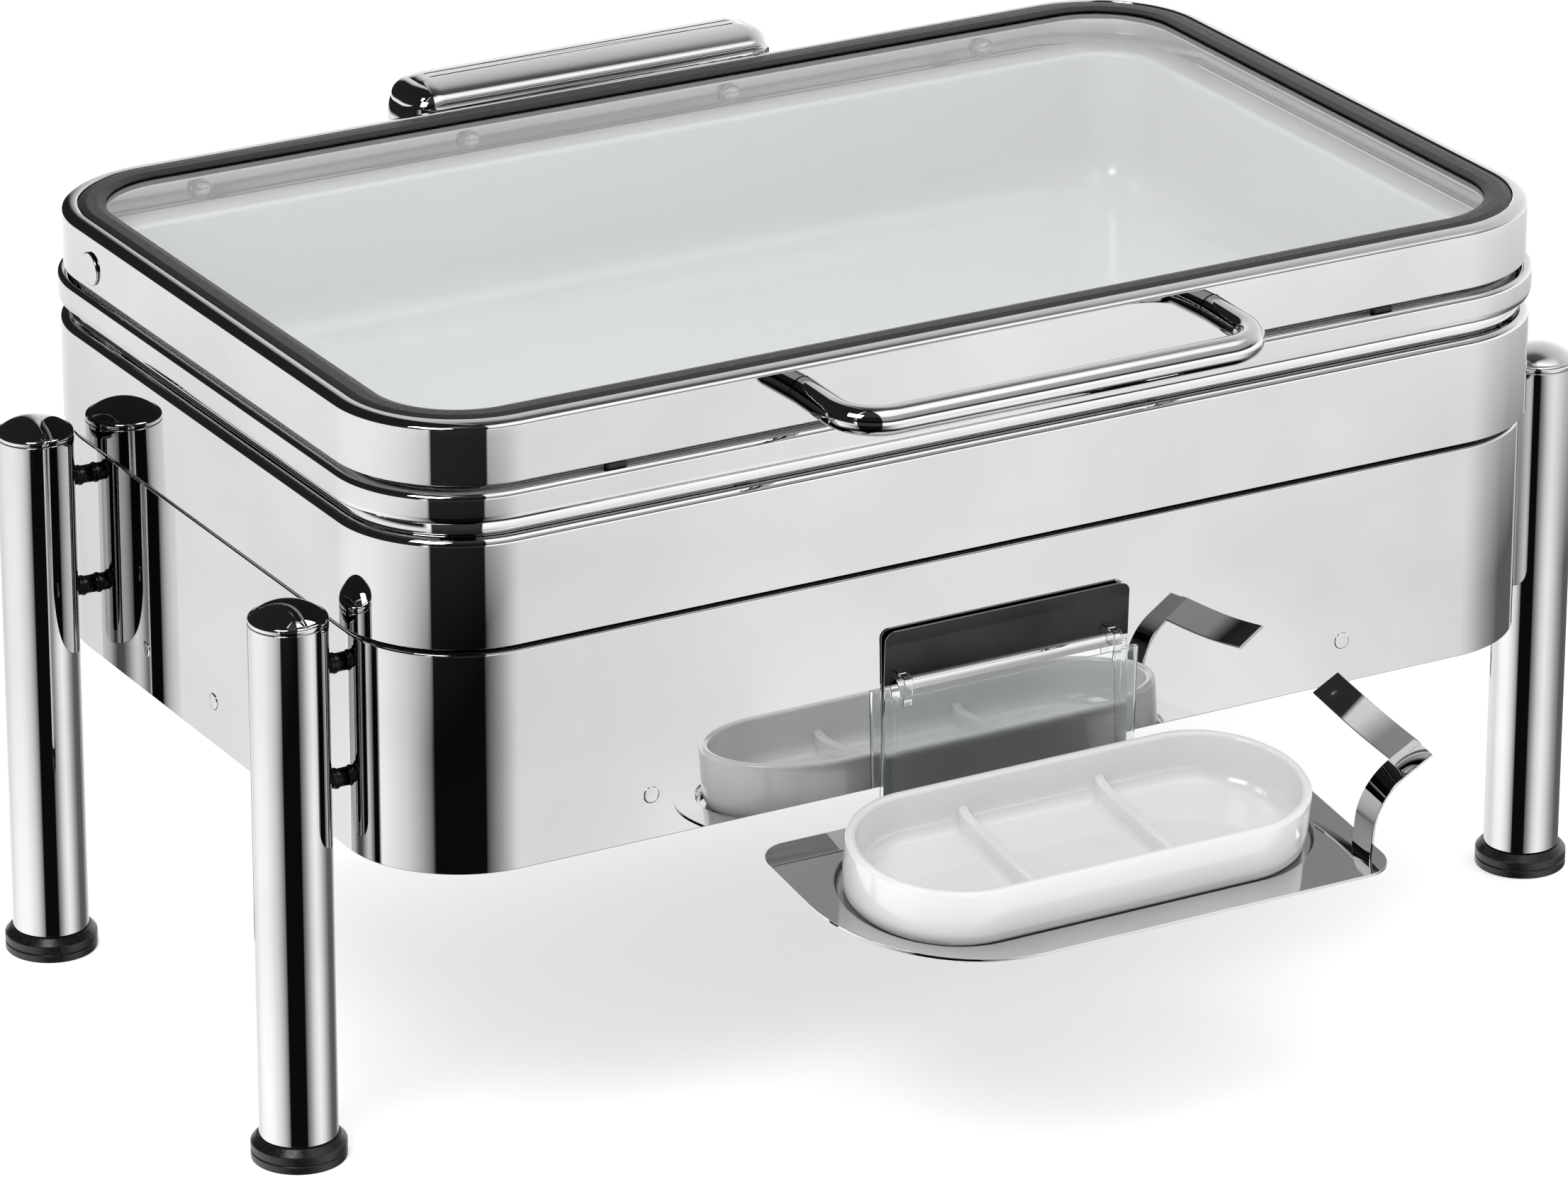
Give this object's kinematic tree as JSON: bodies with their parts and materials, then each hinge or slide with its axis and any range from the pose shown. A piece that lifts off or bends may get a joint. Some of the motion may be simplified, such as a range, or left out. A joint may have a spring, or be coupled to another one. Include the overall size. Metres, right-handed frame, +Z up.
{
  "type": "chafing dish food warmer",
  "caption": "Rectangular buffet food warmer: glass lid on a rear hinge, food pan in a water bath, housing on a stand with legs and burners, and a tray with a spoon dish in front.",
  "frame": {"origin": "bottom centre of the whole object's bounding box, at rest, on the surface it stands on", "axes": "+Z up; +X along the long side, to the right as seen from the front; the front, with the handle and the spoon holder, faces -Y"},
  "size_m": [0.6244, 0.4878, 0.3275],
  "materials": {
    "polished_steel": "mirror-polished stainless steel",
    "satin_steel": "satin stainless steel",
    "black_plastic": "fine matte black plastic",
    "rubber": "matte black silicone rubber",
    "porcelain": "glossy white glaze",
    "glass": "clear tempered glass",
    "clear_acrylic": "clear glossy acrylic"
  },
  "bodies": {
    "stand": {"stand_skirt": "polished_steel", "rest_ring": "rubber", "leg_tube_front_left": "polished_steel", "leg_cap_front_left": "polished_steel", "leg_foot_front_left": "black_plastic", "leg_standoff_front_left_lower": "black_plastic", "leg_standoff_front_left_upper": "black_plastic", "leg_tube_front_right": "polished_steel", "leg_cap_front_right": "polished_steel", "leg_foot_front_right": "black_plastic", "leg_standoff_front_right_lower": "black_plastic", "leg_standoff_front_right_upper": "black_plastic", "leg_tube_back_left": "polished_steel", "leg_cap_back_left": "polished_steel", "leg_foot_back_left": "black_plastic", "leg_standoff_back_left_lower": "black_plastic", "leg_standoff_back_left_upper": "black_plastic", "leg_tube_back_right": "polished_steel", "leg_cap_back_right": "polished_steel", "leg_foot_back_right": "black_plastic", "leg_standoff_back_right_lower": "black_plastic", "leg_standoff_back_right_upper": "black_plastic", "burner_rail_left": "satin_steel", "burner_pot_left": "satin_steel", "burner_rail_right": "satin_steel", "burner_pot_right": "satin_steel"},
    "snuffer_left": {"burner_snuffer_left": "satin_steel"},
    "snuffer_right": {"burner_snuffer_right": "satin_steel"},
    "basin": {"housing_shell": "polished_steel", "basin_rim": "polished_steel", "water_pan": "polished_steel", "food_pan": "porcelain", "rim_bumper_front_left": "rubber", "rim_bumper_front_right": "rubber", "rim_bumper_back_left": "rubber", "rim_bumper_back_right": "rubber", "hinge_bracket": "satin_steel", "hinge_pin": "satin_steel", "hinge_damper": "black_plastic"},
    "lid": {"lid_frame": "polished_steel", "lid_glass": "glass", "lid_gasket": "rubber", "lid_handle": "polished_steel", "handle_screw_left": "satin_steel", "handle_screw_right": "satin_steel", "lid_stud_left": "polished_steel", "lid_stud_right": "polished_steel", "hinge_nut_1": "polished_steel", "hinge_nut_2": "polished_steel", "hinge_nut_3": "polished_steel", "hinge_nut_4": "polished_steel", "hinge_leaf": "satin_steel", "hinge_cover": "polished_steel"},
    "spoon_holder": {"spoon_tray": "polished_steel", "holder_bracket": "polished_steel"},
    "dish": {"spoon_dish": "porcelain"},
    "pocket": {"label_pocket": "clear_acrylic"}
  },
  "joints": [
    {"name": "basin_lift", "type": "slide", "parent": "stand", "child": "basin", "axis": [0, 0, 1], "range_m": [0, 0.12]},
    {"name": "lid_hinge", "type": "hinge", "parent": "basin", "child": "lid", "pos_m": [0, 0.2274, 0.3], "axis": [-1, 0, 0], "range_deg": [0, 90]},
    {"name": "snuffer_left_swing", "type": "hinge", "parent": "stand", "child": "snuffer_left", "pos_m": [-0.12, 0.0774, 0.191], "axis": [0, 0, 1], "range_deg": [0, 110]},
    {"name": "snuffer_right_swing", "type": "hinge", "parent": "stand", "child": "snuffer_right", "pos_m": [0.12, 0.0774, 0.191], "axis": [0, 0, -1], "range_deg": [0, 110]},
    {"name": "holder_pull", "type": "slide", "parent": "stand", "child": "spoon_holder", "axis": [0, -1, 0], "range_m": [0, 0.08]},
    {"name": "dish_lift", "type": "slide", "parent": "spoon_holder", "child": "dish", "axis": [0, -0.1392, 0.9903], "range_m": [0, 0.05]},
    {"name": "pocket_unhook", "type": "slide", "parent": "spoon_holder", "child": "pocket", "axis": [0, -1, 0], "range_m": [0, 0.008]}
  ]
}
